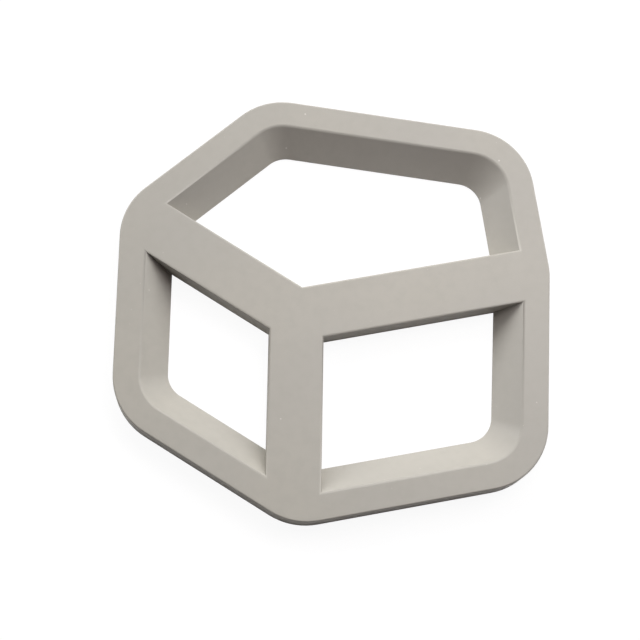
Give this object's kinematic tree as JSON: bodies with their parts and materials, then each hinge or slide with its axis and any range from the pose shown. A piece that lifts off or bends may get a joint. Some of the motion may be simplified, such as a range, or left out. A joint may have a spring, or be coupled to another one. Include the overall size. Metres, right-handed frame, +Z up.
{
  "type": "trivet",
  "caption": "Flat silicone trivet with a faceted, round-cornered outline and open windows between bars that meet off-centre; it holds a hot pan off the table.",
  "frame": {"origin": "centre of the outline's bounding box, on the base that rests on the table", "axes": "+Z up from the base to the flat top, through the trivet's thickness; -Y along the stem, from the hub to the bottom corner; +X towards the right arm"},
  "size_m": [0.1811, 0.1803, 0.011],
  "materials": {
    "silicone": "matte warm grey moulded silicone"
  },
  "bodies": {
    "root": {"trivet": "silicone"}
  },
  "joints": []
}
